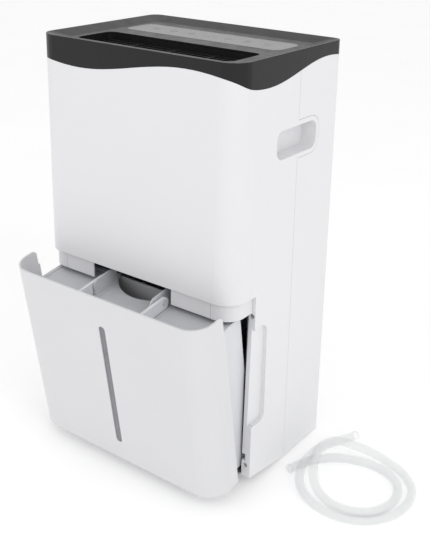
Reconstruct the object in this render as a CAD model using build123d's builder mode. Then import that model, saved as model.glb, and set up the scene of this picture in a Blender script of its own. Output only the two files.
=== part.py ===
"""Room dehumidifier with a front water bucket that pulls out and tips forward.

Frame: +Z up, front faces -Y, the origin is on the resting plane under the middle of the machine
with its bucket out. Millimetres throughout. Every part is drawn about the middle of the body and
moved by frame_shift on export; the bucket parts are drawn closed and tipped on export as well.
"""
import os
from math import cos, exp, pi, radians, sin, tan

from build123d import *

os.makedirs("parts", exist_ok=True)

# ---- driving dimensions -------------------------------------------------------------------
base_width = 350.5        # body outline at the resting plane
base_depth = 263.6
rim_z = 617.0             # top edge of the black cover
draft = 0.8594            # every outer wall leans in by this many degrees
front_corner = 36.8       # plan corner radii at the resting plane
rear_corner = 23.9
skin = 2.6                # shell wall
lean = tan(radians(draft))

body_floor = 1.5          # underside of the body, held up by the feet
bow_angle = 9.0           # the underside rises towards the front at this angle
bow_start = 15.0          # y where the underside starts to rise
bow = tan(radians(bow_angle))
pan_thickness = 2.8

seam_y = 15.0             # front shell meets rear shell
seam_gap = 0.4
jamb_depth = 53.5         # jamb face of the bucket bay, behind the front face
jamb_inner = 160.5        # half width between the jambs
jamb_holes = ((165.6, 275.5), (166.6, 35.5))
rear_screw_x = 152.0      # long screws holding the rear shell
rear_screw_heights = (30.0, 320.0, 572.0)
hood_z = 306.2            # lower edge of the upper front face
lintel_z = 281.0          # lower edge of the recessed band under it
lintel_inset = 5.0

tank_half = 156.0
tank_front = -124.0
tank_top = 264.5
lid_top = 267.0
tank_wall = 2.2
arm_outer = 59.0          # outer faces of the handle arms
arm_thickness = 4.8
pivot_y = -60.6           # handle pivot, bucket closed
pivot_z = 277.0

roller_y = -90.0          # roller axle, bucket closed
roller_z = 26.0
roller_radius = 4.75
roller_x = 118.0
pull = 28.1               # travel along the ramp to the front stop
float_y = -34.0           # float hinge, bucket closed
float_z = 252.0
tip_angle = 9.1           # forward tip of the bucket

hose_diameter = 14.5
hose_wall = 1.8
frame_shift = 31.1        # body middle to machine middle, along Y


def front_y(z):
    """Front face of the body at height z."""
    return -base_depth / 2 + lean * z


def side_x(z):
    """Side face of the body at height z."""
    return base_width / 2 - lean * z


def jamb_y(z):
    return front_y(z) + jamb_depth


def bow_z(y):
    """Underside of the body at y."""
    return body_floor + max(0.0, bow_start - y) * bow


# ---- the wavy joint between the black cover and the white shells ---------------------------
def front_wave(x):
    return 591.5 - 11.0 * cos(pi * (x + 92.0) / 182.0)


def side_wave(y):
    swell = 590.2 - 10.0 * cos(pi * (y + 57.0) / 140.0)
    return swell + 5.2 * exp(-(((y + 122.5) / 18.0) ** 2))


def wave_solid(lift):
    """Everything above the wavy joint, as one block."""
    corner = front_wave(166.0)
    rows = []
    for i in range(15):
        x = -182.0 + 26.0 * i
        row = []
        for j in range(25):
            y = -144.0 + 12.0 * j
            row.append(Vector(x, y, front_wave(x) + side_wave(y) - corner + lift))
        rows.append(row)
    sheet = Face.make_surface_from_array_of_points(rows)
    return extrude(sheet, amount=60, dir=(0, 0, 1))


# ---- shared shapes ------------------------------------------------------------------------
def body_block(inset, bottom, top):
    """The drafted body outline, set in by inset, between two heights."""
    shrink = inset + lean * bottom
    with BuildPart() as block:
        with BuildSketch(Plane.XY.offset(bottom)) as outline:
            Rectangle(base_width - 2 * shrink, base_depth - 2 * shrink)
            fillet(outline.vertices().group_by(Axis.Y)[0], front_corner - shrink)
            fillet(outline.vertices().group_by(Axis.Y)[-1], rear_corner - shrink)
        extrude(amount=top - bottom, taper=draft)
    return block.part


def side_prism(points, x_from, x_to):
    """A closed outline in the YZ plane, pushed from x_from to x_to."""
    with BuildPart() as prism:
        with BuildSketch(Plane.YZ.offset(x_from)):
            with BuildLine():
                Polyline(*points, close=True)
            make_face()
        extrude(amount=x_to - x_from)
    return prism.part


def grip_block(grow, x_from, x_to):
    """Rounded oblong of the carrying grip, drawn on the side of the body."""
    with BuildPart() as block:
        with BuildSketch(Plane.YZ.offset(x_from)):
            with Locations((12.5, 501.0)):
                RectangleRounded(109.0 + 2 * grow, 51.0 + 2 * grow, 19.0 + grow)
        extrude(amount=x_to - x_from)
    return block.part


def underside_cut():
    """Removes what lies below the flat floor and the rising bow."""
    return side_prism(
        [(-200, -30), (200, -30), (200, body_floor), (bow_start, body_floor), (-200, bow_z(-200))],
        -200, 200)


above_wave = wave_solid(0)
above_wave_gap = wave_solid(0.3)

# ---- front shell --------------------------------------------------------------------------
with BuildPart() as front_zone:
    with BuildSketch(Plane.XY):
        with Locations((0, (seam_y - seam_gap / 2 - 200) / 2)):
            Rectangle(400, 200 + seam_y - seam_gap / 2)
    extrude(amount=700)
    add(grip_block(0, -200, 200))

with BuildPart() as front_shell:
    add(body_block(0, 0, 615))
    add(body_block(skin, 0, 616), mode=Mode.SUBTRACT)
    for side in (-1, 1):
        # jamb post beside the bucket bay, thick enough to hold the finger scoop
        with BuildSketch(Plane.YZ.offset(side * jamb_inner)):
            with BuildLine():
                Polyline((jamb_y(0), 0), (jamb_y(0) + 14, 0), (jamb_y(hood_z) + 14, hood_z + 14),
                         (jamb_y(hood_z), hood_z + 14), close=True)
            make_face()
        extrude(amount=side * 12)
        with BuildSketch(Plane.YZ.offset(side * jamb_inner)):
            with BuildLine():
                Polyline((jamb_y(95) + 13, 92), (jamb_y(95) + 38, 92), (jamb_y(95) + 38, 266),
                         (jamb_y(95) + 13, 266), close=True)
            make_face()
        extrude(amount=side * 12)
        # the pocket of the carrying grip
        add(grip_block(-4, min(side * 143, side * 168), max(side * 143, side * 168)))
        # bosses for the long screws that hold the rear shell
        with BuildSketch(Plane.XZ.offset(-1)):
            for boss_z in rear_screw_heights:
                with Locations((side * 163, boss_z)):
                    Rectangle(32, 14)
        extrude(amount=-(seam_y - 1.4), mode=Mode.ADD)
    # small tabs under the lower edge of the upper front
    with BuildSketch(Plane.XZ.offset(-front_y(hood_z) - 3)):
        with Locations((-54, hood_z - 0.5), (-6, hood_z - 0.5), (48, hood_z - 0.5)):
            Rectangle(5, 2)
    extrude(amount=3)
    add(body_block(0, 0, 615), mode=Mode.INTERSECT)
    for side in (-1, 1):
        add(grip_block(-6.5, min(side * 145.5, side * 190), max(side * 145.5, side * 190)),
            mode=Mode.SUBTRACT)
        # finger scoop at the front edge of the side
        with BuildSketch(Plane.YZ.offset(side * 166.5)):
            with Locations((jamb_y(180) - 1 + 14.5, 179.0)):
                RectangleRounded(35.0, 155.0, 13.0)
            with Locations((jamb_y(180) - 12, 179.0)):
                Rectangle(30.0, 155.0)
        extrude(amount=side * 30, mode=Mode.SUBTRACT)
        # counterbored screw holes in the jamb face
        for hole_x, hole_z in jamb_holes:
            with BuildSketch(Plane.XZ.offset(-jamb_y(hole_z) + 20)):
                with Locations((side * hole_x, hole_z)):
                    Circle(3.6)
            extrude(amount=-28, mode=Mode.SUBTRACT)
            with BuildSketch(Plane.XZ.offset(-jamb_y(hole_z) + 20)):
                with Locations((side * hole_x, hole_z)):
                    Circle(1.6)
            extrude(amount=-40, mode=Mode.SUBTRACT)
        # small latch slot at the inner edge of the jamb
        with BuildSketch(Plane.XZ.offset(-jamb_y(48) + 5)):
            with Locations((side * jamb_inner, 48.5)):
                Rectangle(12, 11)
        extrude(amount=-12, mode=Mode.SUBTRACT)
        with BuildSketch(Plane.XZ.offset(10)):
            with Locations(*[(side * rear_screw_x, boss_z) for boss_z in rear_screw_heights]):
                Circle(2.0)
        extrude(amount=-30, mode=Mode.SUBTRACT)
    add(front_zone.part, mode=Mode.INTERSECT)
    add(side_prism([(-200, -10), (jamb_y(-10), -10), (jamb_y(hood_z), hood_z), (-200, hood_z)],
                   -200, 200), mode=Mode.SUBTRACT)
    add(underside_cut(), mode=Mode.SUBTRACT)
    add(above_wave, mode=Mode.SUBTRACT)

# ---- rear shell ---------------------------------------------------------------------------
grille_half = 118.0
grille_bottom = 345.0
grille_top = 570.0
spigot_x = -92.0
spigot_z = 318.0
gland_x = 112.0
gland_z = 62.0
rear_screw_spots = [(x, z) for x in (-rear_screw_x, rear_screw_x) for z in rear_screw_heights]
well_end = seam_y + 4.0

with BuildPart() as rear_shell:
    add(body_block(0, 0, 615))
    add(body_block(skin, 0, 616), mode=Mode.SUBTRACT)
    with BuildSketch(Plane.XY):
        with Locations((0, seam_y + seam_gap / 2 - 150)):
            Rectangle(400, 300)
    extrude(amount=700, mode=Mode.SUBTRACT)
    add(grip_block(seam_gap, -200, 200), mode=Mode.SUBTRACT)
    with BuildSketch(Plane.XZ.offset(-90)):
        with Locations((0, (grille_bottom + grille_top) / 2)):
            RectangleRounded(2 * grille_half, grille_top - grille_bottom, 8)
        with Locations((spigot_x, spigot_z)):
            Circle(11)
        with Locations((gland_x, gland_z)):
            Circle(8)
        with Locations(*rear_screw_spots):
            Circle(4.6)
    extrude(amount=-60, mode=Mode.SUBTRACT)
    # deep wells that take the screws down to the front bosses
    with BuildSketch(Plane.XZ.offset(-well_end)):
        with Locations(*rear_screw_spots):
            Circle(6.4)
    extrude(amount=-200)
    with BuildSketch(Plane.XZ.offset(-well_end - 3)):
        with Locations(*rear_screw_spots):
            Circle(4.6)
    extrude(amount=-200, mode=Mode.SUBTRACT)
    with BuildSketch(Plane.XZ.offset(-well_end)):
        with Locations(*rear_screw_spots):
            Circle(2.2)
    extrude(amount=-10, mode=Mode.SUBTRACT)
    add(body_block(0, 0, 615), mode=Mode.INTERSECT)
    add(underside_cut(), mode=Mode.SUBTRACT)
    add(above_wave, mode=Mode.SUBTRACT)

# ---- base pan and feet --------------------------------------------------------------------
pan_front = -120.0
bay_half = 158.0

with BuildPart() as base_pan:
    add(side_prism([(pan_front, bow_z(pan_front)), (bow_start, body_floor), (140, body_floor),
                    (140, body_floor + pan_thickness), (bow_start, body_floor + pan_thickness),
                    (pan_front, bow_z(pan_front) + pan_thickness)], -200, 200))
    add(body_block(skin + 0.3, 0, 40), mode=Mode.INTERSECT)
    for side in (-1, 1):
        with BuildSketch(Plane.XY):
            with Locations((side * (bay_half + 20), -130)):
                Rectangle(40, 140)
        extrude(amount=60, mode=Mode.SUBTRACT)
        # front corners cut back clear of the bucket's lip
        with BuildSketch(Plane.XY):
            with Locations((side * (150 + 20), -125)):
                Rectangle(40, 40)
        extrude(amount=60, mode=Mode.SUBTRACT)

front_foot_y = -58.0
rear_foot_y = 100.0
with BuildPart() as feet:
    with BuildSketch(Plane.XY):
        with Locations((-128, front_foot_y), (128, front_foot_y), (-140, rear_foot_y), (140, rear_foot_y)):
            Circle(10)
    extrude(amount=30)
    add(side_prism([(-200, bow_z(-200)), (bow_start, body_floor), (200, body_floor), (200, 40),
                    (-200, 60)], -200, 200), mode=Mode.SUBTRACT)

# ---- bucket bay: recessed band, dark liner --------------------------------------------------
opening_left = -78.0
opening_right = 65.0

with BuildPart() as lintel:
    add(body_block(lintel_inset, lintel_z, 320))
    add(body_block(lintel_inset + 2.2, lintel_z - 1, 321), mode=Mode.SUBTRACT)
    with BuildSketch(Plane.XY.offset(lintel_z)):
        with Locations((0, jamb_y(lintel_z) - 0.3 + 150)):
            Rectangle(400, 300)
    extrude(amount=60, mode=Mode.SUBTRACT)
    with BuildSketch(Plane.XZ.offset(100)) as mouth:
        with BuildLine():
            Polyline((opening_left, lintel_z - 5), (opening_left, hood_z), (opening_right, hood_z),
                     (opening_right, lintel_z - 5), close=True)
        make_face()
        fillet(mouth.vertices().group_by(Axis.X)[-1].sort_by(Axis.Y)[-1], 4)
    extrude(amount=40, mode=Mode.SUBTRACT)
    # fine upright joints in the band
    with BuildSketch(Plane.XZ.offset(-front_y(lintel_z) - lintel_inset - 0.6)):
        with Locations((-132, 293), (132, 293)):
            Rectangle(0.5, 40)
    extrude(amount=5, mode=Mode.SUBTRACT)

liner_back = -14.0
liner_front = -73.0
with BuildPart() as bay_liner:
    with BuildSketch(Plane.XY.offset(0)):
        with Locations((0, liner_back + 1)):
            Rectangle(2 * 160.3, 2)
        with GridLocations(12, 1, 25, 1):
            with Locations((0, liner_back - 0.9)):
                Rectangle(3, 1.8)
        for side in (-1, 1):
            with Locations((side * 159.3, (liner_front + liner_back) / 2)):
                Rectangle(2, liner_back - liner_front + 1)
    extrude(amount=308)
    # ears behind the jambs that take the jamb screws
    for side in (-1, 1):
        for hole_x, hole_z in jamb_holes:
            with BuildSketch(Plane.XZ.offset(-jamb_y(hole_z) - 14.2)):
                with Locations((side * 164.2, hole_z)):
                    Rectangle(8.2, 18)
                with Locations((side * hole_x, hole_z)):
                    Circle(1.6, mode=Mode.SUBTRACT)
            extrude(amount=-3)
    # slot for the bucket switch lever
    with BuildSketch(Plane.XZ.offset(20)):
        with Locations((120, 199)):
            Rectangle(12, 40)
    extrude(amount=-20, mode=Mode.SUBTRACT)
    with BuildSketch(Plane.XY.offset(306.6)) as roof:
        with Locations((0, (-118.5 + liner_back) / 2)):
            Rectangle(2 * 159, liner_back + 118.5)
        fillet(roof.vertices().group_by(Axis.Y)[0], 24)
        with Locations((0, -35)):
            Circle(11, mode=Mode.SUBTRACT)
    extrude(amount=1.4)
    add(side_prism([(-200, -50), (200, -50), (200, body_floor + pan_thickness + 0.2),
                    (bow_start, body_floor + pan_thickness + 0.2),
                    (-200, bow_z(-200) + pan_thickness + 0.2)], -200, 200), mode=Mode.SUBTRACT)

# ---- top cover, outlet grille, control panel ------------------------------------------------
dish_z = rim_z - 6.0
outlet_half = 129.0
outlet_front = -89.0
outlet_back = -18.0
panel_half = 132.0
panel_front = 12.0
panel_back = 72.0

with BuildPart() as top_cover:
    add(body_block(0, 560, rim_z))
    add(body_block(skin, 550, dish_z - 2.4), mode=Mode.SUBTRACT)
    add(above_wave_gap, mode=Mode.INTERSECT)
    with BuildSketch(Plane.XY.offset(rim_z)) as rim_line:
        Rectangle(332 - 4, 245 - 4)
        fillet(rim_line.vertices().group_by(Axis.Y)[0], 25.6)
        fillet(rim_line.vertices().group_by(Axis.Y)[-1], 12.6)
    with BuildSketch(Plane.XY.offset(dish_z)) as dish_line:
        Rectangle(2 * 140, 2 * 97)
        fillet(dish_line.vertices().group_by(Axis.Y)[0], 14)
        fillet(dish_line.vertices().group_by(Axis.Y)[-1], 9)
    loft(mode=Mode.SUBTRACT)
    with BuildSketch(Plane.XY.offset(dish_z - 10)):
        with Locations((0, (outlet_front + outlet_back) / 2)):
            RectangleRounded(2 * outlet_half, outlet_back - outlet_front, 12)
    extrude(amount=20, mode=Mode.SUBTRACT)
    with BuildSketch(Plane.XY.offset(dish_z - 1.4)):
        with Locations((0, (panel_front + panel_back) / 2)):
            RectangleRounded(2 * panel_half, panel_back - panel_front, 14)
    extrude(amount=3, mode=Mode.SUBTRACT)

with BuildPart() as outlet_grille:
    with BuildSketch(Plane.XY.offset(592)):
        with Locations((0, (outlet_front + outlet_back) / 2)):
            RectangleRounded(2 * outlet_half + 6, outlet_back - outlet_front + 6, 14)
            RectangleRounded(2 * outlet_half - 3, outlet_back - outlet_front - 3, 10, mode=Mode.SUBTRACT)
    extrude(amount=16.2)
    with BuildSketch(Plane.XY.offset(594)):
        for i in range(5):
            with Locations((0, outlet_front + 12 + 11.8 * i)):
                Rectangle(2 * outlet_half - 2, 1.8)
        with GridLocations(64, 1, 3, 1):
            with Locations((0, (outlet_front + outlet_back) / 2)):
                Rectangle(2, outlet_back - outlet_front - 2)
    extrude(amount=8)

with BuildPart() as control_panel:
    with BuildSketch(Plane.XY.offset(dish_z - 1.3)):
        with Locations((0, (panel_front + panel_back) / 2)):
            RectangleRounded(2 * panel_half - 0.6, panel_back - panel_front - 0.6, 13.7)
    extrude(amount=1.5)

with BuildPart() as control_board:
    with BuildSketch(Plane.XY.offset(598)):
        with Locations((0, (panel_front + panel_back) / 2)):
            Rectangle(230, 46)
            with GridLocations(220, 36, 2, 2):
                Circle(1.6, mode=Mode.SUBTRACT)
    extrude(amount=1.6)
    with BuildSketch(Plane.XY.offset(599.6)):
        with Locations((0, panel_front + 22)):
            Rectangle(38, 16)
        with Locations((-80, panel_front + 34), (-60, panel_front + 34), (70, panel_front + 30)):
            Rectangle(9, 9)
    extrude(amount=6)

# ---- airflow: blower, duct, coils -----------------------------------------------------------
wheel_z = 440.0
wheel_radius = 90.0
scroll_front = -66.0
scroll_back = -4.0

with BuildPart() as fan_scroll:
    with BuildSketch(Plane.XZ.offset(-scroll_back)):
        with Locations((0, wheel_z)):
            Circle(108)
        with Locations((44, 500)):
            Rectangle(128, 120)
    extrude(amount=scroll_back - scroll_front)
    with BuildSketch(Plane.XZ.offset(-scroll_back + 2.2)):
        with Locations((0, wheel_z)):
            Circle(105.8)
        with Locations((44, 501)):
            Rectangle(123.6, 122)
    extrude(amount=scroll_back - scroll_front - 4.4, mode=Mode.SUBTRACT)
    with BuildSketch(Plane.XZ.offset(-scroll_back - 5)):
        with Locations((0, wheel_z)):
            Circle(64)
    extrude(amount=10, mode=Mode.SUBTRACT)
    with BuildSketch(Plane.XZ.offset(-scroll_front - 5)):
        with Locations((0, wheel_z)):
            Circle(12)
    extrude(amount=10, mode=Mode.SUBTRACT)

with BuildPart() as outlet_duct:
    with BuildSketch(Plane.XY.offset(560.2)):
        with Locations((44, (scroll_front + scroll_back) / 2)):
            Rectangle(128, scroll_back - scroll_front)
    with BuildSketch(Plane.XY.offset(591.6)):
        with Locations((0, (outlet_front + outlet_back) / 2)):
            Rectangle(2 * outlet_half, outlet_back - outlet_front)
    loft()
    with BuildSketch(Plane.XY.offset(560.2)):
        with Locations((44, (scroll_front + scroll_back) / 2)):
            Rectangle(123, scroll_back - scroll_front - 5)
    with BuildSketch(Plane.XY.offset(591.6)):
        with Locations((0, (outlet_front + outlet_back) / 2)):
            Rectangle(2 * outlet_half - 5, outlet_back - outlet_front - 5)
    loft(mode=Mode.SUBTRACT)

with BuildPart() as fan_wheel:
    with BuildSketch(Plane.XZ.offset(58)):
        with Locations((0, wheel_z)):
            Circle(wheel_radius)
            Circle(4.05, mode=Mode.SUBTRACT)
    extrude(amount=-2)
    with BuildSketch(Plane.XZ.offset(56)):
        with Locations((0, wheel_z)):
            Circle(14)
            Circle(4.05, mode=Mode.SUBTRACT)
            with PolarLocations(84, 36):
                Rectangle(12, 1.4)
    extrude(amount=-42)
    with BuildSketch(Plane.XZ.offset(14)):
        with Locations((0, wheel_z)):
            Circle(wheel_radius)
            Circle(wheel_radius - 12, mode=Mode.SUBTRACT)
    extrude(amount=-2)

with BuildPart() as motor_shaft:
    with BuildSketch(Plane.XZ.offset(108)):
        with Locations((0, wheel_z)):
            Circle(4)
    extrude(amount=-92)

with BuildPart() as fan_motor:
    with BuildSketch(Plane.XZ.offset(104)):
        with Locations((0, wheel_z)):
            Circle(42)
            Circle(4.5, mode=Mode.SUBTRACT)
    extrude(amount=-34)
    fillet(fan_motor.edges().filter_by(GeomType.CIRCLE).group_by(SortBy.RADIUS)[-1], 5)

with BuildPart() as motor_bracket:
    with BuildSketch(Plane.XZ.offset(69.8)):
        with Locations((0, wheel_z)):
            Circle(52)
            Circle(16, mode=Mode.SUBTRACT)
            with PolarLocations(34, 6):
                Circle(6, mode=Mode.SUBTRACT)
    extrude(amount=-3.6)


def coil_pack(front, back):
    """Fin pack with its two end plates."""
    with BuildPart() as pack:
        with BuildSketch(Plane.XZ.offset(-back)):
            with Locations((0, 455)):
                Rectangle(200, 216)
        extrude(amount=back - front)
        for side in (-1, 1):
            with BuildSketch(Plane.XZ.offset(-back - 1)):
                with Locations((side * 101, 455)):
                    Rectangle(2, 222)
            extrude(amount=back - front + 2)
    return pack.part


def coil_bends(middle, rows):
    """Return bends of the copper tube at both ends of a fin pack."""
    with BuildPart() as bends:
        for side in (-1, 1):
            for row in range(rows):
                low = 365 + 36 * row + (18 if side > 0 else 0)
                with BuildSketch(Plane.YZ.offset(side * 102.1)):
                    with Locations((middle, low)):
                        Circle(4)
                revolve(axis=Axis((side * 102.1, middle, low + 9), (0, 1, 0)), revolution_arc=-180 * side)
    return bends.part


with BuildPart() as evaporator:
    add(coil_pack(90, 114))
with BuildPart() as evaporator_bends:
    add(coil_bends(102, 5))
with BuildPart() as condenser:
    add(coil_pack(60, 84))
with BuildPart() as condenser_bends:
    add(coil_bends(72, 5))

# ---- condensate: drip tray, drain spigot, plug ----------------------------------------------
tray_floor = 312.0
with BuildPart() as drip_tray:
    with BuildSketch(Plane.XY.offset(tray_floor)):
        with Locations((0, 33)):
            RectangleRounded(236, 176, 6)
    extrude(amount=20)
    with BuildSketch(Plane.XY.offset(tray_floor + 2)):
        with Locations((0, 33)):
            RectangleRounded(232, 172, 4)
    extrude(amount=30, mode=Mode.SUBTRACT)
    with BuildSketch(Plane.XY.offset(tray_floor - 8)):
        with Locations((0, -35)):
            Circle(8)
    extrude(amount=8)
    with BuildSketch(Plane.XY.offset(tray_floor - 10)):
        with Locations((0, -35)):
            Circle(6)
    extrude(amount=20, mode=Mode.SUBTRACT)
    with BuildSketch(Plane.XZ.offset(-110)):
        with Locations((spigot_x, spigot_z + 1)):
            Circle(4.6)
    extrude(amount=-20, mode=Mode.SUBTRACT)

spigot_end = 133.0
with BuildPart() as drain_spigot:
    with BuildSketch(Plane.XZ.offset(-121.2)):
        with Locations((spigot_x, spigot_z + 1)):
            Circle(9)
    extrude(amount=-2)
    with BuildSketch(Plane.XZ.offset(-121.2)):
        with Locations((spigot_x, spigot_z + 1)):
            Circle(6.4)
    extrude(amount=-(spigot_end - 121.2))
    with BuildSketch(Plane.XZ.offset(-120)):
        with Locations((spigot_x, spigot_z + 1)):
            Circle(4.6)
    extrude(amount=-20, mode=Mode.SUBTRACT)

with BuildPart() as drain_plug:
    with BuildSketch(Plane.XZ.offset(-(spigot_end - 8))):
        with Locations((spigot_x, spigot_z + 1)):
            Circle(4.4)
    extrude(amount=-8.4)
    with BuildSketch(Plane.XZ.offset(-(spigot_end + 0.3))):
        with Locations((spigot_x, spigot_z + 1)):
            Circle(8)
    extrude(amount=-3)

# ---- refrigeration and electrics behind the bay ---------------------------------------------
compressor_x = 62.0
compressor_y = 62.0

with BuildPart() as compressor:
    with BuildSketch(Plane.XY.offset(18)):
        with Locations((compressor_x, compressor_y)):
            Circle(51)
    extrude(amount=190)
    fillet(compressor.edges().filter_by(GeomType.CIRCLE), 20)
    with BuildSketch(Plane.XY.offset(18)):
        with Locations((compressor_x, compressor_y)):
            Circle(40)
            with PolarLocations(53, 3, 90):
                Circle(12)
                Circle(5, mode=Mode.SUBTRACT)
            with PolarLocations(42, 3, 90):
                Rectangle(16, 22)
    extrude(amount=3)

with BuildPart() as compressor_grommets:
    with BuildSketch(Plane.XY.offset(body_floor + pan_thickness)):
        with Locations((compressor_x, compressor_y)):
            with PolarLocations(53, 3, 90):
                Circle(10)
                Circle(3, mode=Mode.SUBTRACT)
    extrude(amount=18 - body_floor - pan_thickness)

with BuildPart() as accumulator:
    with BuildSketch(Plane.XY.offset(60)):
        with Locations((-22, compressor_y)):
            Circle(24)
    extrude(amount=120)
    fillet(accumulator.edges().filter_by(GeomType.CIRCLE), 12)


def copper_pipe(points, corner):
    """A bent copper pipe along straight runs with round corners."""
    with BuildPart() as pipe:
        with BuildLine() as route:
            FilletPolyline(*points, radius=corner)
        with BuildSketch(Plane(origin=route.line @ 0, z_dir=route.line % 0)):
            Circle(4)
        sweep()
    return pipe.part


with BuildPart() as discharge_pipe:
    add(copper_pipe([(62, 62, 208.1), (62, 62, 250), (136, 62, 250), (136, 72, 365), (102.2, 72, 365)], 12))
with BuildPart() as suction_pipe:
    add(copper_pipe([(-22, 62, 180.1), (-22, 62, 240), (-136, 62, 240), (-136, 102, 545),
                     (-102.2, 102, 545)], 12))

with BuildPart() as electrical_box:
    with BuildSketch(Plane.XY.offset(14)):
        with Locations((-100, 62)):
            Rectangle(80, 96)
    extrude(amount=150)
    with BuildSketch(Plane.XY.offset(16)):
        with Locations((-100, 62)):
            Rectangle(76, 92)
    extrude(amount=160, mode=Mode.SUBTRACT)

with BuildPart() as electrical_box_lid:
    with BuildSketch(Plane.XY.offset(164.2)):
        with Locations((-100, 62)):
            Rectangle(82, 98)
    extrude(amount=2)

with BuildPart() as capacitor:
    with BuildSketch(Plane.XY.offset(16.2)):
        with Locations((-100, 84)):
            Circle(20)
    extrude(amount=78)
    fillet(capacitor.edges().filter_by(GeomType.CIRCLE), 2)

with BuildPart() as power_board:
    with BuildSketch(Plane.XY.offset(22)):
        with Locations((-100, 36)):
            Rectangle(66, 1.6)
    extrude(amount=110)

with BuildPart() as humidity_sensor:
    with BuildSketch(Plane.XZ.offset(-20)):
        with Locations((146, 540)):
            Rectangle(16, 24)
    extrude(amount=7)

with BuildPart() as capillary_tube:
    with BuildLine() as capillary_route:
        FilletPolyline((-102.2, 72, 545), (-120, 72, 545), (-120, 87, 576), (120, 87, 574),
                       (120, 102, 365), (102.2, 102, 365), radius=6)
    with BuildSketch(Plane(origin=capillary_route.line @ 0, z_dir=capillary_route.line % 0)):
        Circle(2)
    sweep()

with BuildPart() as cord_gland:
    with BuildSketch(Plane.XZ.offset(-124)):
        with Locations((gland_x, gland_z)):
            Circle(7.8)
            Circle(3.6, mode=Mode.SUBTRACT)
    extrude(amount=-12)
    with BuildSketch(Plane.XZ.offset(-131.1)):
        with Locations((gland_x, gland_z)):
            Circle(11)
            Circle(3.6, mode=Mode.SUBTRACT)
    extrude(amount=-3)

# ---- rear grille with its filter ------------------------------------------------------------
with BuildPart() as intake_grille:
    add(body_block(0.4, 300, 600))
    add(body_block(3.2, 290, 610), mode=Mode.SUBTRACT)
    with BuildSketch(Plane.XZ.offset(-90)):
        with Locations((0, (grille_bottom + grille_top) / 2)):
            RectangleRounded(2 * grille_half - 1, grille_top - grille_bottom - 1, 7.5)
    extrude(amount=-60, mode=Mode.INTERSECT)
    with BuildSketch(Plane.XZ.offset(-90)):
        with Locations((0, (grille_bottom + grille_top) / 2)):
            with GridLocations(73, 9, 3, 22):
                Rectangle(69, 6)
    extrude(amount=-60, mode=Mode.SUBTRACT)

with BuildPart() as filter_mesh:
    add(body_block(3.5, 300, 600))
    add(body_block(4.3, 290, 610), mode=Mode.SUBTRACT)
    with BuildSketch(Plane.XZ.offset(-90)):
        with Locations((0, (grille_bottom + grille_top) / 2)):
            RectangleRounded(2 * grille_half - 10, grille_top - grille_bottom - 10, 5)
    extrude(amount=-60, mode=Mode.INTERSECT)

# ---- screws ---------------------------------------------------------------------------------
with BuildPart() as rear_shell_screws:
    with BuildSketch(Plane.XZ.offset(-well_end - 3)):
        with Locations(*rear_screw_spots):
            Circle(3.8)
    extrude(amount=-3)
    with BuildSketch(Plane.XZ.offset(-well_end - 3)):
        with Locations(*rear_screw_spots):
            Circle(1.95)
    extrude(amount=14)
    with BuildSketch(Plane.XZ.offset(-well_end - 6)):
        with Locations(*rear_screw_spots):
            Rectangle(3.4, 0.8)
            Rectangle(0.8, 3.4)
    extrude(amount=1.4, mode=Mode.SUBTRACT)

with BuildPart() as jamb_screws:
    for side in (-1, 1):
        for hole_x, hole_z in jamb_holes:
            with BuildSketch(Plane.XZ.offset(-jamb_y(hole_z) - 8)):
                with Locations((side * hole_x, hole_z)):
                    Circle(3.0)
            extrude(amount=2.4)
            with BuildSketch(Plane.XZ.offset(-jamb_y(hole_z) - 8)):
                with Locations((side * hole_x, hole_z)):
                    Circle(1.55)
            extrude(amount=-11)
            with BuildSketch(Plane.XZ.offset(-jamb_y(hole_z) - 5.6)):
                with Locations((side * hole_x, hole_z)):
                    Rectangle(3.4, 0.8)
                    Rectangle(0.8, 3.4)
            extrude(amount=-1.2, mode=Mode.SUBTRACT)

# ---- bucket-in-place switch and full-bucket sensor ------------------------------------------
lever_pivot = (-6.0, 222.0)

with BuildPart() as switch_lever:
    with BuildSketch(Plane.YZ.offset(116.5)):
        with BuildLine():
            Polyline((-9.5, 224), (-2.5, 224), (-3, 214), (-22, 188), (-26, 190), (-26, 196),
                     (-10, 216), close=True)
        make_face()
        with Locations(lever_pivot):
            Circle(4.5)
            Circle(1.85, mode=Mode.SUBTRACT)
    extrude(amount=6)

with BuildPart() as bucket_switch:
    with BuildSketch(Plane.YZ.offset(125)):
        with Locations((-3, 216)):
            RectangleRounded(17, 32, 1.5)
    extrude(amount=12)
    with BuildSketch(Plane.YZ.offset(114)):
        with Locations(lever_pivot):
            Circle(1.5)
    extrude(amount=12)

with BuildPart() as reed_switch:
    with BuildSketch(Plane.XY.offset(246)):
        with Locations((110, -6.5)):
            Rectangle(30, 9)
    extrude(amount=10)

# ---- bucket, drawn closed -------------------------------------------------------------------
def tank_bottom(y, wall=0.0):
    """Underside of the tank, two millimetres above the ramp."""
    return roller_z - 5.06 + (roller_y - y) * bow + 2.0 + wall


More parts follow.
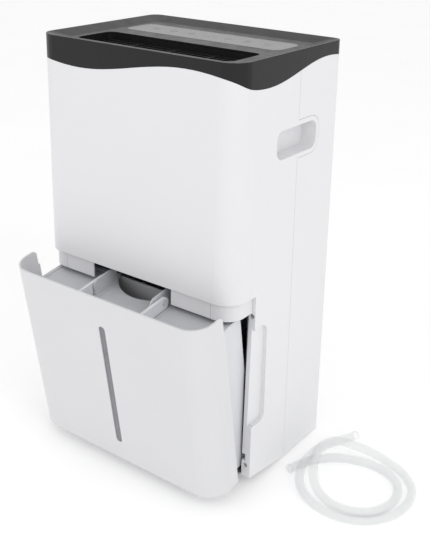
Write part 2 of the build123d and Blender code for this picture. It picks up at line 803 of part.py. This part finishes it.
with BuildPart() as tank:
    add(side_prism([(tank_front, tank_bottom(tank_front)), (tank_front, tank_top), (-21.5, tank_top),
                    (-20.5, 175), (-41, 40), (-44, tank_bottom(-44))], -tank_half, tank_half))
    upright = tank.edges().filter_by(Axis.Z).group_by(Axis.Y)[0]
    fillet(upright, 16)
    offset(amount=-tank_wall, openings=tank.faces().sort_by(Axis.Z)[-1])
    for side in (-1, 1):
        # roller pods
        with BuildSketch(Plane.YZ.offset(side * roller_x - 11)):
            with BuildLine():
                Polyline((roller_y - 10, tank_bottom(roller_y - 10)),
                         (roller_y + 10, tank_bottom(roller_y + 10)),
                         (roller_y + 10, 36), (roller_y - 10, 36), close=True)
            make_face()
        extrude(amount=22)
        with BuildSketch(Plane.YZ.offset(side * roller_x - 6)):
            with Locations((roller_y, 25)):
                Rectangle(14, 15)
        extrude(amount=12, mode=Mode.SUBTRACT)
        with BuildSketch(Plane.YZ.offset(side * roller_x - 9.2)):
            with Locations((roller_y, roller_z)):
                Circle(1.85)
        extrude(amount=18.4, mode=Mode.SUBTRACT)
        # lugs that carry the front panel
        for lug_z in (60.0, 230.0):
            with BuildSketch(Plane.XZ.offset(102.5)):
                with Locations((side * 160.5, lug_z)):
                    Rectangle(11, 16)
                with Locations((side * 162, lug_z)):
                    Circle(1.5, mode=Mode.SUBTRACT)
            extrude(amount=3)

with BuildPart() as panel_ribs:
    for side in (-1, 1):
        for lug_z in (60.0, 230.0):
            with BuildSketch(Plane.XZ.offset(105.6)):
                with Locations((side * 166, lug_z)):
                    Rectangle(16, 14)
                with Locations((side * 162, lug_z)):
                    Circle(1.5, mode=Mode.SUBTRACT)
            extrude(amount=5)
    add(body_block(1.2, 18, 304), mode=Mode.INTERSECT)

with BuildPart() as bucket_front:
    add(body_block(0, 18, 304))
    add(body_block(2.5, 17, 305), mode=Mode.SUBTRACT)
    add(body_block(1.0, 18, 22.7))
    add(body_block(6.5, 17, 23), mode=Mode.SUBTRACT)
    with BuildSketch(Plane.YZ.offset(-200)) as return_line:
        with BuildLine():
            Polyline((-200, 20.2), (jamb_y(20.2) - 0.8, 20.2), (jamb_y(280) - 0.8, 280), (-77.6, 280),
                     (-77.6, 304), (-200, 304), close=True)
        make_face()
        fillet(return_line.vertices().group_by(Axis.Y)[-1].sort_by(Axis.X)[-1], 7)
        fillet(return_line.vertices().group_by(Axis.Y)[0].sort_by(Axis.X)[-1], 3)
    extrude(amount=400, mode=Mode.INTERSECT)
    add(panel_ribs.part)
    with BuildSketch(Plane.XZ.offset(150)):
        with Locations((0, 155.85)):
            SlotOverall(205.1, 11.2, rotation=90)
    extrude(amount=-40, mode=Mode.SUBTRACT)

with BuildPart() as panel_screws:
    for side in (-1, 1):
        for lug_z in (60.0, 230.0):
            with BuildSketch(Plane.XZ.offset(102.5)):
                with Locations((side * 162, lug_z)):
                    Circle(2.8)
            extrude(amount=-2)
            with BuildSketch(Plane.XZ.offset(102.5)):
                with Locations((side * 162, lug_z)):
                    Circle(1.45)
            extrude(amount=7.5)

with BuildPart() as window_nose:
    add(body_block(1.2, 45, 266))
    add(body_block(2.7, 44, 267), mode=Mode.SUBTRACT)
    with BuildSketch(Plane.XZ.offset(150)):
        with Locations((0, 155.85)):
            SlotOverall(204.6, 10.7, rotation=90)
    extrude(amount=-40, mode=Mode.INTERSECT)

with BuildPart() as level_window:
    add(body_block(2.6, 45, 266))
    add(body_block(3.5, 44, 267), mode=Mode.SUBTRACT)
    with BuildSketch(Plane.XZ.offset(150)):
        with Locations((0, 155.85)):
            RectangleRounded(18, 213, 4)
    extrude(amount=-40, mode=Mode.INTERSECT)
    add(window_nose.part)

with BuildPart() as tank_lid:
    with BuildSketch(Plane.XY.offset(tank_top + 0.3)) as lid_line:
        with Locations((0, (-125.0 - 21.0) / 2)):
            Rectangle(2 * 157, 104)
        fillet(lid_line.vertices().group_by(Axis.Y)[0], 17)
    extrude(amount=lid_top - tank_top - 0.3)
    with BuildSketch(Plane.XY.offset(tank_top - 4.5)) as skirt_line:
        with Locations((0, -73.0)):
            Rectangle(2 * 153.2, 96.4)
        fillet(skirt_line.vertices().group_by(Axis.Y)[0], 13)
        offset(amount=-1.6, mode=Mode.SUBTRACT)
    extrude(amount=4.8)
    # three shallow fields sunk into the top
    with BuildSketch(Plane.XY.offset(lid_top - 0.9)):
        with Locations((-107, -73), (107, -73)):
            RectangleRounded(88, 92, 8)
        with Locations((0, -92)):
            RectangleRounded(88, 54, 5)
        with Locations((0, 1)):
            Circle(66, mode=Mode.SUBTRACT)
    extrude(amount=2, mode=Mode.SUBTRACT)
    with BuildSketch(Plane.XY.offset(tank_top - 10)):
        with Locations((0, 1)):
            Circle(61)
    extrude(amount=30, mode=Mode.SUBTRACT)
    for side in (-1, 1):
        # cheeks and bosses that carry the handle
        with BuildSketch(Plane.YZ.offset(side * 51.25 - 1.25)) as cheek:
            with Locations((-59.5, lid_top + 11.5 - 0.2)):
                Rectangle(47, 23.4)
            fillet(cheek.vertices().group_by(Axis.Y)[-1].sort_by(Axis.X)[0], 12)
            fillet(cheek.vertices().group_by(Axis.Y)[-1].sort_by(Axis.X)[-1], 5)
        extrude(amount=2.5)
        with BuildSketch(Plane.YZ.offset(side * 52)):
            with Locations((pivot_y, pivot_z)):
                Circle(4)
        extrude(amount=side * (arm_outer + 1 - 52))
    # lugs under the lid for the float
    with BuildSketch(Plane.YZ.offset(86)):
        with Locations((float_y, float_z + 3.5)):
            Rectangle(9, 19)
        with Locations((float_y, float_z)):
            Circle(2.1, mode=Mode.SUBTRACT)
    extrude(amount=3.5)
    with BuildSketch(Plane.YZ.offset(130.5)):
        with Locations((float_y, float_z + 3.5)):
            Rectangle(9, 19)
        with Locations((float_y, float_z)):
            Circle(2.1, mode=Mode.SUBTRACT)
    extrude(amount=3.5)

with BuildPart() as handle:
    for side in (-1, 1):
        with BuildSketch(Plane.YZ.offset(side * (arm_outer - arm_thickness / 2) - arm_thickness / 2)) as arm:
            with Locations(((-121 + pivot_y) / 2, pivot_z - 0.1)):
                Rectangle(pivot_y + 121, 17.3)
            fillet(arm.vertices().group_by(Axis.X)[0], 4)
            with Locations((pivot_y, pivot_z)):
                Circle(8.65)
                Circle(4.35, mode=Mode.SUBTRACT)
        extrude(amount=arm_thickness)
    with BuildSketch(Plane.YZ.offset(-arm_outer + 1)):
        with Locations((-116.5, pivot_z)):
            RectangleRounded(9, 14, 3)
    extrude(amount=2 * arm_outer - 2)

with BuildPart() as float_block:
    with BuildSketch(Plane.XY.offset(236)):
        with Locations((110, -61)):
            RectangleRounded(34, 34, 4)
    extrude(amount=14)
    with BuildSketch(Plane.YZ.offset(95)):
        with BuildLine():
            Polyline((-50, 249), (-50, 244), (float_y - 2, float_z - 2),
                     (float_y - 2, float_z + 2), close=True)
        make_face()
        with Locations((float_y, float_z)):
            Circle(3)
    extrude(amount=30)
    with BuildSketch(Plane.YZ.offset(87)):
        with Locations((float_y, float_z)):
            Circle(1.7)
    extrude(amount=46)

with BuildPart() as bucket_rollers:
    for side in (-1, 1):
        with BuildSketch(Plane.YZ.offset(side * roller_x - 5.5)):
            with Locations((roller_y, roller_z)):
                Circle(roller_radius)
                Circle(1.85, mode=Mode.SUBTRACT)
        extrude(amount=11)

with BuildPart() as roller_axles:
    for side in (-1, 1):
        with BuildSketch(Plane.YZ.offset(side * roller_x - 8.8)):
            with Locations((roller_y, roller_z)):
                Circle(1.5)
        extrude(amount=17.6)

# ---- drain hose, lying in two loose turns beside the body ------------------------------------
lie = hose_diameter / 2 + 0.3
hose_points = [
    (203, -13, lie), (212, 16, lie), (230, 43, lie), (256, 63, lie), (288, 73, lie),
    (320, 72, lie), (347, 56, lie), (361, 28, lie), (360, -4, lie), (344, -31, lie),
    (316, -45, lie), (285, -45, lie), (257, -32, 14), (239, -8, 29), (232, 22, 41),
    (240, 52, 40), (262, 75, 28), (291, 91, 15), (324, 91, lie), (355, 76, lie),
    (375, 49, lie), (380, 15, lie), (372, -18, lie), (351, -46, lie), (320, -62, lie),
    (287, -64, lie), (256, -54, lie), (231, -33, 9), (219, -3, 20), (222, 30, 26),
    (229, 62, 23), (234, 94, 14), (241, 126, lie),
]
corners = [Vector(*point) for point in hose_points]
hose_radii = []
for before, here, after in zip(corners, corners[1:], corners[2:]):
    arriving = here - before
    leaving = after - here
    turn = radians(arriving.get_angle(leaving))
    hose_radii.append(0.45 * min(arriving.length, leaving.length) / tan(turn / 2))

with BuildPart() as drain_hose:
    with BuildLine() as hose_route:
        FilletPolyline(*hose_points, radius=hose_radii)
    with BuildSketch(Plane(origin=hose_route.line @ 0, z_dir=hose_route.line % 0)):
        Circle(hose_diameter / 2)
        Circle(hose_diameter / 2 - hose_wall, mode=Mode.SUBTRACT)
    sweep()

print("hose length", round(hose_route.wire().length, 1), "radii", [round(r) for r in hose_radii])
hose_section = pi * hose_wall * (hose_diameter - hose_wall)
print("hose volume over section times length",
      drain_hose.part.volume / (hose_section * hose_route.wire().length))

# ---- export ---------------------------------------------------------------------------------
tipped = (Pos(0, -pull * cos(radians(bow_angle)), pull * sin(radians(bow_angle)))
          * Pos(0, roller_y, roller_z) * Rot(tip_angle, 0, 0) * Pos(0, -roller_y, -roller_z))

fixed_parts = {
    "front_shell": front_shell, "rear_shell": rear_shell, "base_pan": base_pan, "feet": feet,
    "lintel": lintel, "bay_liner": bay_liner, "top_cover": top_cover,
    "outlet_grille": outlet_grille, "control_panel": control_panel,
    "control_board": control_board, "fan_scroll": fan_scroll, "outlet_duct": outlet_duct,
    "fan_wheel": fan_wheel, "motor_shaft": motor_shaft, "fan_motor": fan_motor,
    "motor_bracket": motor_bracket, "evaporator": evaporator,
    "evaporator_bends": evaporator_bends, "condenser": condenser,
    "condenser_bends": condenser_bends, "drip_tray": drip_tray, "drain_spigot": drain_spigot,
    "drain_plug": drain_plug, "compressor": compressor,
    "compressor_grommets": compressor_grommets, "accumulator": accumulator,
    "discharge_pipe": discharge_pipe, "suction_pipe": suction_pipe,
    "capillary_tube": capillary_tube, "electrical_box": electrical_box,
    "electrical_box_lid": electrical_box_lid, "capacitor": capacitor, "power_board": power_board,
    "humidity_sensor": humidity_sensor, "cord_gland": cord_gland,
    "intake_grille": intake_grille, "filter_mesh": filter_mesh,
    "rear_shell_screws": rear_shell_screws, "jamb_screws": jamb_screws,
    "switch_lever": switch_lever, "bucket_switch": bucket_switch, "reed_switch": reed_switch,
    "drain_hose": drain_hose,
}
bucket_parts = {
    "tank": tank, "bucket_front": bucket_front, "level_window": level_window,
    "panel_screws": panel_screws,
    "tank_lid": tank_lid, "handle": handle, "tank_float": float_block,
    "bucket_rollers": bucket_rollers, "roller_axles": roller_axles,
}

for name, item in fixed_parts.items():
    placed = Pos(0, frame_shift, 0) * item.part
    placed.label = name
    export_step(placed, f"parts/{name}.step")
for name, item in bucket_parts.items():
    placed = Pos(0, frame_shift, 0) * tipped * item.part
    placed.label = name
    export_step(placed, f"parts/{name}.step")
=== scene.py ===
"""Looks for the room dehumidifier: camera, drain hose, materials, small surface detail, light."""

import math

import bmesh
import bpy
from mathutils import Matrix, Vector


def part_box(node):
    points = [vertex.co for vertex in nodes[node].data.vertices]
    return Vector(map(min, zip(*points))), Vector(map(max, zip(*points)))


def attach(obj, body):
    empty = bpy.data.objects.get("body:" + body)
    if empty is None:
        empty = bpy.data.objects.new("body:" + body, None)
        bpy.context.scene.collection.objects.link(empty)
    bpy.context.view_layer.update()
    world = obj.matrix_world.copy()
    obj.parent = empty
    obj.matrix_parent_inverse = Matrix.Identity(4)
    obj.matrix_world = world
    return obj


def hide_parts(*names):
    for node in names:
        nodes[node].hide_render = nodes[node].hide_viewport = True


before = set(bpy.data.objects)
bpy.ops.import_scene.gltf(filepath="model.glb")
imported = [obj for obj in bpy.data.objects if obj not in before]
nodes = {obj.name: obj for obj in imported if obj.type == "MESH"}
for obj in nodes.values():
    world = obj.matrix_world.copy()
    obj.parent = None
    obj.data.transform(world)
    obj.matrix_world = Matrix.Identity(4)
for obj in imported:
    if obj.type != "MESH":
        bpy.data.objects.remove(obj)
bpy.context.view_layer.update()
scene = bpy.context.scene
MM = 0.001

# ---- camera ---------------------------------------------------------------------------------
CAMERA_PLACE = (0.7391, -0.9177, 0.8122)
YAW = math.radians(36.042)
PITCH = math.radians(24.098)
ROLL = math.radians(1.253)
LENS = 39.0859              # millimetres, on a sensor 24 mm high
SENSOR_HEIGHT = 24.0

back = Vector((math.sin(YAW) * math.cos(PITCH), -math.cos(YAW) * math.cos(PITCH), math.sin(PITCH)))
right = (-back).cross(Vector((0, 0, 1))).normalized()
up = right.cross(-back)
right_rolled = math.cos(ROLL) * right + math.sin(ROLL) * up
up_rolled = -math.sin(ROLL) * right + math.cos(ROLL) * up

camera_data = bpy.data.cameras.new("camera")
camera_data.sensor_fit = "VERTICAL"
camera_data.sensor_height = SENSOR_HEIGHT
camera_data.lens = LENS
camera = bpy.data.objects.new("camera", camera_data)
scene.collection.objects.link(camera)
placement = Matrix.Identity(4)
for row in range(3):
    placement[row][0] = right_rolled[row]
    placement[row][1] = up_rolled[row]
    placement[row][2] = back[row]
    placement[row][3] = CAMERA_PLACE[row]
camera.matrix_world = placement
scene.camera = camera


# ---- material tools ---------------------------------------------------------------------------
class Recipe:
    """A node material built around one Principled shader."""

    def __init__(self, name):
        self.material = bpy.data.materials.new(name)
        self.material.use_nodes = True
        self.tree = self.material.node_tree
        self.shader = self.tree.nodes["Principled BSDF"]
        self.coords = self.add("ShaderNodeTexCoord").outputs["Object"]
        self.normal = None

    def add(self, kind, **settings):
        node = self.tree.nodes.new(kind)
        for key, value in settings.items():
            setattr(node, key, value)
        return node

    def link(self, source, target):
        self.tree.links.new(source, target)

    def noise(self, scale, detail=3.0, roughness=0.55):
        """Noise in metres: scale is features per metre."""
        node = self.add("ShaderNodeTexNoise")
        node.inputs["Scale"].default_value = scale
        node.inputs["Detail"].default_value = detail
        node.inputs["Roughness"].default_value = roughness
        self.link(self.coords, node.inputs["Vector"])
        return node.outputs["Fac"]

    def spread(self, source, low, high, start=0.3, end=0.7):
        """Maps a 0-1 value onto the range low to high."""
        node = self.add("ShaderNodeMapRange")
        node.inputs["From Min"].default_value = start
        node.inputs["From Max"].default_value = end
        node.inputs["To Min"].default_value = low
        node.inputs["To Max"].default_value = high
        self.link(source, node.inputs["Value"])
        return node.outputs["Result"]

    def ramp(self, source, stops):
        """Maps a 0-1 value onto a row of colours, each with its place on the row."""
        node = self.add("ShaderNodeValToRGB")
        while len(node.color_ramp.elements) < len(stops):
            node.color_ramp.elements.new(0.5)
        for element, (place, colour) in zip(node.color_ramp.elements, stops):
            element.position = place
            element.color = (*colour, 1.0)
        self.link(source, node.inputs["Fac"])
        return node.outputs["Color"]

    def set(self, **values):
        """Plain values on the shader's own sockets; underscores stand for spaces."""
        for key, value in values.items():
            self.shader.inputs[key.replace("_", " ")].default_value = value

    def colour(self, source):
        self.link(source, self.shader.inputs["Base Color"])

    def rough(self, source):
        self.link(source, self.shader.inputs["Roughness"])

    def bump(self, source, strength, distance):
        node = self.add("ShaderNodeBump")
        node.inputs["Strength"].default_value = strength
        node.inputs["Distance"].default_value = distance
        self.link(source, node.inputs["Height"])
        if self.normal is not None:
            self.link(self.normal, node.inputs["Normal"])
        self.normal = node.outputs["Normal"]
        self.link(self.normal, self.shader.inputs["Normal"])

    def soften(self, radius):
        """Rounds the look of sharp moulded edges by this radius in metres."""
        node = self.add("ShaderNodeBevel", samples=4)
        node.inputs["Radius"].default_value = radius
        self.normal = node.outputs["Normal"]
        self.link(self.normal, self.shader.inputs["Normal"])


def tone(colour, factor):
    return tuple(channel * factor for channel in colour)


def moulded(name, colour, rough_low, rough_high, grain=1400.0, grain_depth=0.00002, mottle=0.02,
            edge=0.0006, coat=0.0, specular=0.5):
    """Injection-moulded plastic: fine spark grain, faint flow mottle, softened edges."""
    recipe = Recipe(name)
    recipe.soften(edge)
    flow = recipe.noise(9.0, 2.0)
    recipe.colour(recipe.ramp(flow, [(0.3, tone(colour, 1 - mottle)), (0.7, tone(colour, 1 + mottle))]))
    recipe.rough(recipe.spread(recipe.noise(60.0, 4.0), rough_low, rough_high))
    recipe.bump(recipe.noise(grain, 2.0), 0.35, grain_depth)
    recipe.set(Coat_Weight=coat, Coat_Roughness=0.12, Specular_IOR_Level=specular, IOR=1.5)
    return recipe.material


WHITE = (0.80, 0.80, 0.815)
shell_white = moulded("shell_white", WHITE, 0.30, 0.40, mottle=0.008)
bucket_white = moulded("bucket_white", tone(WHITE, 0.90), 0.30, 0.40, mottle=0.008)
band_white = moulded("band_white", tone(WHITE, 0.97), 0.36, 0.46, mottle=0.008)
cover_black = moulded("cover_black", (0.017, 0.017, 0.018), 0.26, 0.36, grain=1800.0,
                      grain_depth=0.00001, mottle=0.06, edge=0.0009, specular=0.22)
slat_black = moulded("slat_black", (0.010, 0.010, 0.011), 0.42, 0.55, mottle=0.08, edge=0.0004,
                     specular=0.2)
lid_grey = moulded("lid_grey", (0.60, 0.605, 0.625), 0.42, 0.55, grain=900.0, grain_depth=0.00004)
pale_grey = moulded("pale_grey", (0.76, 0.765, 0.80), 0.38, 0.50)
tank_white = moulded("tank_white", (0.74, 0.745, 0.77), 0.34, 0.46, mottle=0.012)
# Dark charcoal liner whose colour also paints in the shade deep inside the bay around the tank.
liner_dark_and_painted_shade = moulded("liner_dark_and_painted_shade", (0.17, 0.175, 0.21), 0.45, 0.6, grain=700.0,
                     grain_depth=0.00005, mottle=0.08)
pan_grey = moulded("pan_grey", (0.30, 0.30, 0.32), 0.45, 0.6)
rubber_black = moulded("rubber_black", (0.02, 0.02, 0.02), 0.6, 0.75, grain=500.0)
duct_dark = moulded("duct_dark", (0.03, 0.03, 0.034), 0.5, 0.65, mottle=0.08)


def window_plastic():
    """Smoked clear plastic of the level window."""
    recipe = Recipe("window_smoke")
    flow = recipe.noise(30.0, 2.0)
    recipe.colour(recipe.ramp(flow, [(0.3, (0.17, 0.17, 0.19)), (0.7, (0.21, 0.21, 0.23))]))
    recipe.rough(recipe.spread(recipe.noise(120.0), 0.10, 0.18))
    recipe.bump(recipe.noise(250.0), 0.15, 0.00002)
    recipe.set(Coat_Weight=0.4, Coat_Roughness=0.05, IOR=1.49)
    return recipe.material


def touch_glass():
    """Grey satin touch surface with a barely visible brushed grain."""
    recipe = Recipe("touch_panel")
    stretch = recipe.add("ShaderNodeMapping")
    stretch.inputs["Scale"].default_value = (30.0, 900.0, 900.0)
    recipe.link(recipe.coords, stretch.inputs["Vector"])
    grain = recipe.add("ShaderNodeTexNoise")
    grain.inputs["Scale"].default_value = 1.0
    grain.inputs["Detail"].default_value = 4.0
    recipe.link(stretch.outputs["Vector"], grain.inputs["Vector"])
    recipe.colour(recipe.ramp(grain.outputs["Fac"], [(0.3, (0.21, 0.21, 0.215)), (0.7, (0.25, 0.25, 0.255))]))
    recipe.rough(recipe.spread(grain.outputs["Fac"], 0.22, 0.34))
    recipe.set(Coat_Weight=0.1, Coat_Roughness=0.1, Specular_IOR_Level=0.3, IOR=1.5)
    return recipe.material


def metal(name, colour, rough_low, rough_high, grain=400.0):
    """Bare metal with fine uneven wear."""
    recipe = Recipe(name)
    recipe.soften(0.0003)
    scratches = recipe.noise(grain, 5.0)
    recipe.colour(recipe.ramp(scratches, [(0.3, tone(colour, 0.88)), (0.7, colour)]))
    recipe.rough(recipe.spread(scratches, rough_low, rough_high))
    recipe.bump(scratches, 0.2, 0.00002)
    recipe.set(Metallic=1.0)
    return recipe.material


def bands(recipe, axis, pitch):
    """Even bands across one axis, one each pitch metres."""
    wave = recipe.add("ShaderNodeTexWave", wave_type="BANDS", bands_direction=axis)
    wave.inputs["Scale"].default_value = 2 * math.pi / (20.0 * pitch)
    recipe.link(recipe.coords, wave.inputs["Vector"])
    return wave.outputs["Fac"]


def fin_metal():
    """Closely spaced aluminium fins, with painted shade in the gaps between them."""
    recipe = Recipe("fin_aluminium_painted_gap_shade")
    fins = bands(recipe, "X", 0.0018)
    # The dark stop is painted shade in the gaps between the fins; the light stop is the fins' own aluminium.
    recipe.colour(recipe.ramp(fins, [(0.35, (0.10, 0.10, 0.105)), (0.6, (0.62, 0.63, 0.65))]))
    recipe.rough(recipe.spread(recipe.noise(200.0), 0.3, 0.45))
    recipe.bump(fins, 0.8, 0.0006)
    recipe.set(Metallic=0.9)
    return recipe.material


def filter_weave():
    """Dark woven dust filter."""
    recipe = Recipe("filter_weave")
    across = bands(recipe, "X", 0.0014)
    upright = bands(recipe, "Z", 0.0014)
    weave = recipe.add("ShaderNodeMath", operation="MAXIMUM")
    recipe.link(across, weave.inputs[0])
    recipe.link(upright, weave.inputs[1])
    recipe.colour(recipe.ramp(weave.outputs[0], [(0.6, (0.012, 0.012, 0.014)), (0.95, (0.07, 0.075, 0.085))]))
    recipe.rough(recipe.spread(recipe.noise(300.0), 0.55, 0.7))
    recipe.bump(weave.outputs[0], 0.7, 0.0004)
    return recipe.material


def hose_plastic():
    """Milky soft tube, a little see-through, with a faint fine bump."""
    recipe = Recipe("hose_milky")
    cloud = recipe.noise(40.0, 3.0)
    recipe.colour(recipe.ramp(cloud, [(0.3, (0.93, 0.945, 0.95)), (0.7, (0.96, 0.97, 0.975))]))
    recipe.rough(recipe.spread(recipe.noise(150.0), 0.28, 0.42))
    recipe.bump(recipe.noise(300.0), 0.2, 0.00003)
    recipe.set(IOR=1.42, Specular_IOR_Level=0.4, Alpha=0.22)
    return recipe.material


level_grey = window_plastic()
panel_grey = touch_glass()
steel = metal("plated_steel", (0.55, 0.55, 0.56), 0.28, 0.42)
copper = metal("copper", (0.72, 0.36, 0.22), 0.25, 0.4)
enamel = moulded("black_enamel", (0.02, 0.02, 0.022), 0.2, 0.3, grain=300.0, coat=0.4)
board_green = moulded("board_green", (0.02, 0.10, 0.05), 0.35, 0.5)
fins = fin_metal()
weave = filter_weave()
hose_milky = hose_plastic()

FINISHES = {
    "front_shell": shell_white, "rear_shell": shell_white, "intake_grille": band_white,
    "lintel": band_white, "bucket_front": bucket_white, "tank": tank_white, "handle": pale_grey,
    "tank_lid": lid_grey, "level_window": level_grey, "tank_float": pale_grey,
    "bucket_rollers": rubber_black, "roller_axles": steel, "panel_screws": steel,
    "top_cover": cover_black, "outlet_grille": slat_black, "control_panel": panel_grey,
    "bay_liner": liner_dark_and_painted_shade, "base_pan": pan_grey, "feet": rubber_black,
    "cord_gland": rubber_black, "drain_spigot": pale_grey, "drain_plug": rubber_black,
    "rear_shell_screws": steel, "jamb_screws": steel, "filter_mesh": weave,
    "evaporator": fins, "condenser": fins, "evaporator_bends": copper,
    "condenser_bends": copper, "discharge_pipe": copper, "suction_pipe": copper,
    "capillary_tube": copper, "compressor": enamel, "accumulator": enamel,
    "compressor_grommets": rubber_black, "fan_motor": steel, "motor_shaft": steel,
    "control_board": board_green, "power_board": board_green,
}
for name, node in nodes.items():
    finish = FINISHES.get(name, duct_dark)
    for slot in node.material_slots:
        slot.material = finish
    if not node.material_slots:
        node.data.materials.append(finish)

# ---- drain hose -------------------------------------------------------------------------------
HOSE_DIAMETER = 14.5 * MM
HOSE_WALL = 1.8 * MM
BODY_MIDDLE_Y = 31.1
LIE = 7.55
HOSE_ROUTE = [
    (203, -13, LIE), (212, 16, LIE), (230, 43, LIE), (256, 63, LIE), (288, 73, LIE),
    (320, 72, LIE), (347, 56, LIE), (361, 28, LIE), (360, -4, LIE), (344, -31, LIE),
    (316, -45, LIE), (285, -45, LIE), (257, -32, 14), (239, -8, 29), (232, 22, 41),
    (240, 52, 40), (262, 75, 28), (291, 91, 15), (324, 91, LIE), (355, 76, LIE),
    (375, 49, LIE), (380, 15, LIE), (372, -18, LIE), (351, -46, LIE), (320, -62, LIE),
    (287, -64, LIE), (256, -54, LIE), (231, -33, 9), (219, -3, 20), (222, 30, 26),
    (229, 62, 23), (234, 94, 14), (241, 126, LIE),
]
hose_curve = bpy.data.curves.new("drain_hose_tube", "CURVE")
hose_curve.dimensions = "3D"
hose_curve.resolution_u = 8
hose_curve.bevel_depth = HOSE_DIAMETER / 2
hose_curve.bevel_resolution = 6
hose_curve.use_fill_caps = False
route = hose_curve.splines.new("NURBS")
route.points.add(len(HOSE_ROUTE) - 1)
for point, (x, y, z) in zip(route.points, HOSE_ROUTE):
    point.co = (x * MM, (y + BODY_MIDDLE_Y) * MM, z * MM, 1.0)
route.order_u = 3
route.use_endpoint_u = True
hose = bpy.data.objects.new("drain_hose_tube", hose_curve)
scene.collection.objects.link(hose)
hose_curve.materials.append(hose_milky)
wall = hose.modifiers.new("wall", "SOLIDIFY")
wall.thickness = HOSE_WALL
wall.offset = -1.0
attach(hose, "cabinet")
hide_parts("drain_hose")

# ---- touch marks on the control panel -----------------------------------------------------------
MARK_PLACES = (-96, -64, -32, 32, 64, 96)    # millimetres from the middle; the last is the power key
DOT_PLACES = (-8, 0, 8)
MARK_LIFT = 0.05 * MM
MARK_THICKNESS = 0.08 * MM
LINE_WIDTH = 0.6 * MM
mark_grey = moulded("mark_grey", (0.31, 0.31, 0.315), 0.25, 0.35, edge=0.0001, specular=0.3)
panel_low, panel_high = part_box("control_panel")


def ring(mesh, centre, radius, width, sides=28, gap=0.0):
    """A flat ring, or an arc where gap, an angle in radians at its top, is above zero."""
    inner, outer = [], []
    count = sides if gap == 0.0 else sides + 1
    for i in range(count):
        angle = math.pi / 2 + gap / 2 + (2 * math.pi - gap) * i / sides
        across = (math.cos(angle), math.sin(angle))
        for store, reach in ((inner, radius - width / 2), (outer, radius + width / 2)):
            place = (centre[0] + across[0] * reach, centre[1] + across[1] * reach, centre[2])
            store.append(mesh.verts.new(place))
    for i in range(sides):
        j = (i + 1) % count
        mesh.faces.new((inner[i], outer[i], outer[j], inner[j]))


def bar(mesh, centre, half_x, half_y):
    """A flat rectangle."""
    corners = [mesh.verts.new((centre[0] + sx * half_x, centre[1] + sy * half_y, centre[2]))
               for sx, sy in ((-1, -1), (1, -1), (1, 1), (-1, 1))]
    mesh.faces.new(corners)


marks = bmesh.new()
mark_z = panel_high.z + MARK_LIFT
mark_y = (panel_low.y + panel_high.y) / 2
for i, x in enumerate(MARK_PLACES):
    middle = (x * MM, mark_y, mark_z)
    is_power = x == MARK_PLACES[-1]
    ring(marks, middle, 5.2 * MM, LINE_WIDTH, gap=0.9 if is_power else 0.0)
    if is_power:
        bar(marks, (middle[0], middle[1] + 4.5 * MM, mark_z), LINE_WIDTH / 2, 2.2 * MM)
    elif i % 2 == 0:
        bar(marks, middle, 2.2 * MM, LINE_WIDTH / 2)
for x in DOT_PLACES:
    ring(marks, (x * MM, mark_y, mark_z), 0.9 * MM, LINE_WIDTH, sides=12)
extruded = bmesh.ops.extrude_face_region(marks, geom=marks.faces[:])
lifted = [item for item in extruded["geom"] if isinstance(item, bmesh.types.BMVert)]
bmesh.ops.translate(marks, vec=(0, 0, MARK_THICKNESS), verts=lifted)
bmesh.ops.recalc_face_normals(marks, faces=marks.faces[:])
mark_mesh = bpy.data.meshes.new("panel_marks")
marks.to_mesh(mark_mesh)
marks.free()
mark_mesh.materials.append(mark_grey)
panel_marks = bpy.data.objects.new("panel_marks", mark_mesh)
scene.collection.objects.link(panel_marks)
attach(panel_marks, "cabinet")

# ---- floor and light ----------------------------------------------------------------------------
floor_recipe = Recipe("floor_pale")
floor_grain = floor_recipe.noise(3.0)
floor_recipe.colour(floor_recipe.ramp(floor_grain, [(0.3, (0.93, 0.93, 0.93)), (0.7, (0.95, 0.95, 0.95))]))
floor_recipe.set(Roughness=0.9, Specular_IOR_Level=0.2)
floor_recipe.set(Emission_Color=(1.0, 1.0, 1.0, 1.0), Emission_Strength=0.2)
floor_mesh = bpy.data.meshes.new("floor")
floor_mesh.from_pydata([(-6, -6, 0), (6, -6, 0), (6, 6, 0), (-6, 6, 0)], [], [(0, 1, 2, 3)])
floor_mesh.materials.append(floor_recipe.material)
floor = bpy.data.objects.new("floor", floor_mesh)
floor.location.z = -0.0003
scene.collection.objects.link(floor)

world = bpy.data.worlds.new("studio")
scene.world = world
world.use_nodes = True
ROOM_LIGHT = 0.80           # what lights the machine; the backdrop itself is seen as pure white
sky = world.node_tree.nodes["Background"]
sky.inputs["Color"].default_value = (1.0, 1.0, 1.0, 1.0)
seen = world.node_tree.nodes.new("ShaderNodeLightPath")
backdrop = world.node_tree.nodes.new("ShaderNodeMapRange")
backdrop.inputs["To Min"].default_value = ROOM_LIGHT
backdrop.inputs["To Max"].default_value = 1.0
world.node_tree.links.new(seen.outputs["Is Camera Ray"], backdrop.inputs["Value"])
world.node_tree.links.new(backdrop.outputs["Result"], sky.inputs["Strength"])
scene.view_settings.view_transform = "Standard"


def softbox(name, place, aim, size, power):
    """A rectangular light: place, aim and size in metres, power in watts."""
    light = bpy.data.lights.new(name, "AREA")
    light.shape = "RECTANGLE"
    light.size, light.size_y = size
    light.energy = power
    lamp = bpy.data.objects.new(name, light)
    lamp.location = place
    lamp.rotation_euler = (Vector(aim) - Vector(place)).to_track_quat("-Z", "Y").to_euler()
    scene.collection.objects.link(lamp)


softbox("key", (2.2, -0.9, 1.8), (0, 0, 0.3), (1.4, 1.8), 12.0)
softbox("fill", (-1.2, -2.4, 1.6), (0, 0, 0.3), (1.6, 1.6), 6.0)
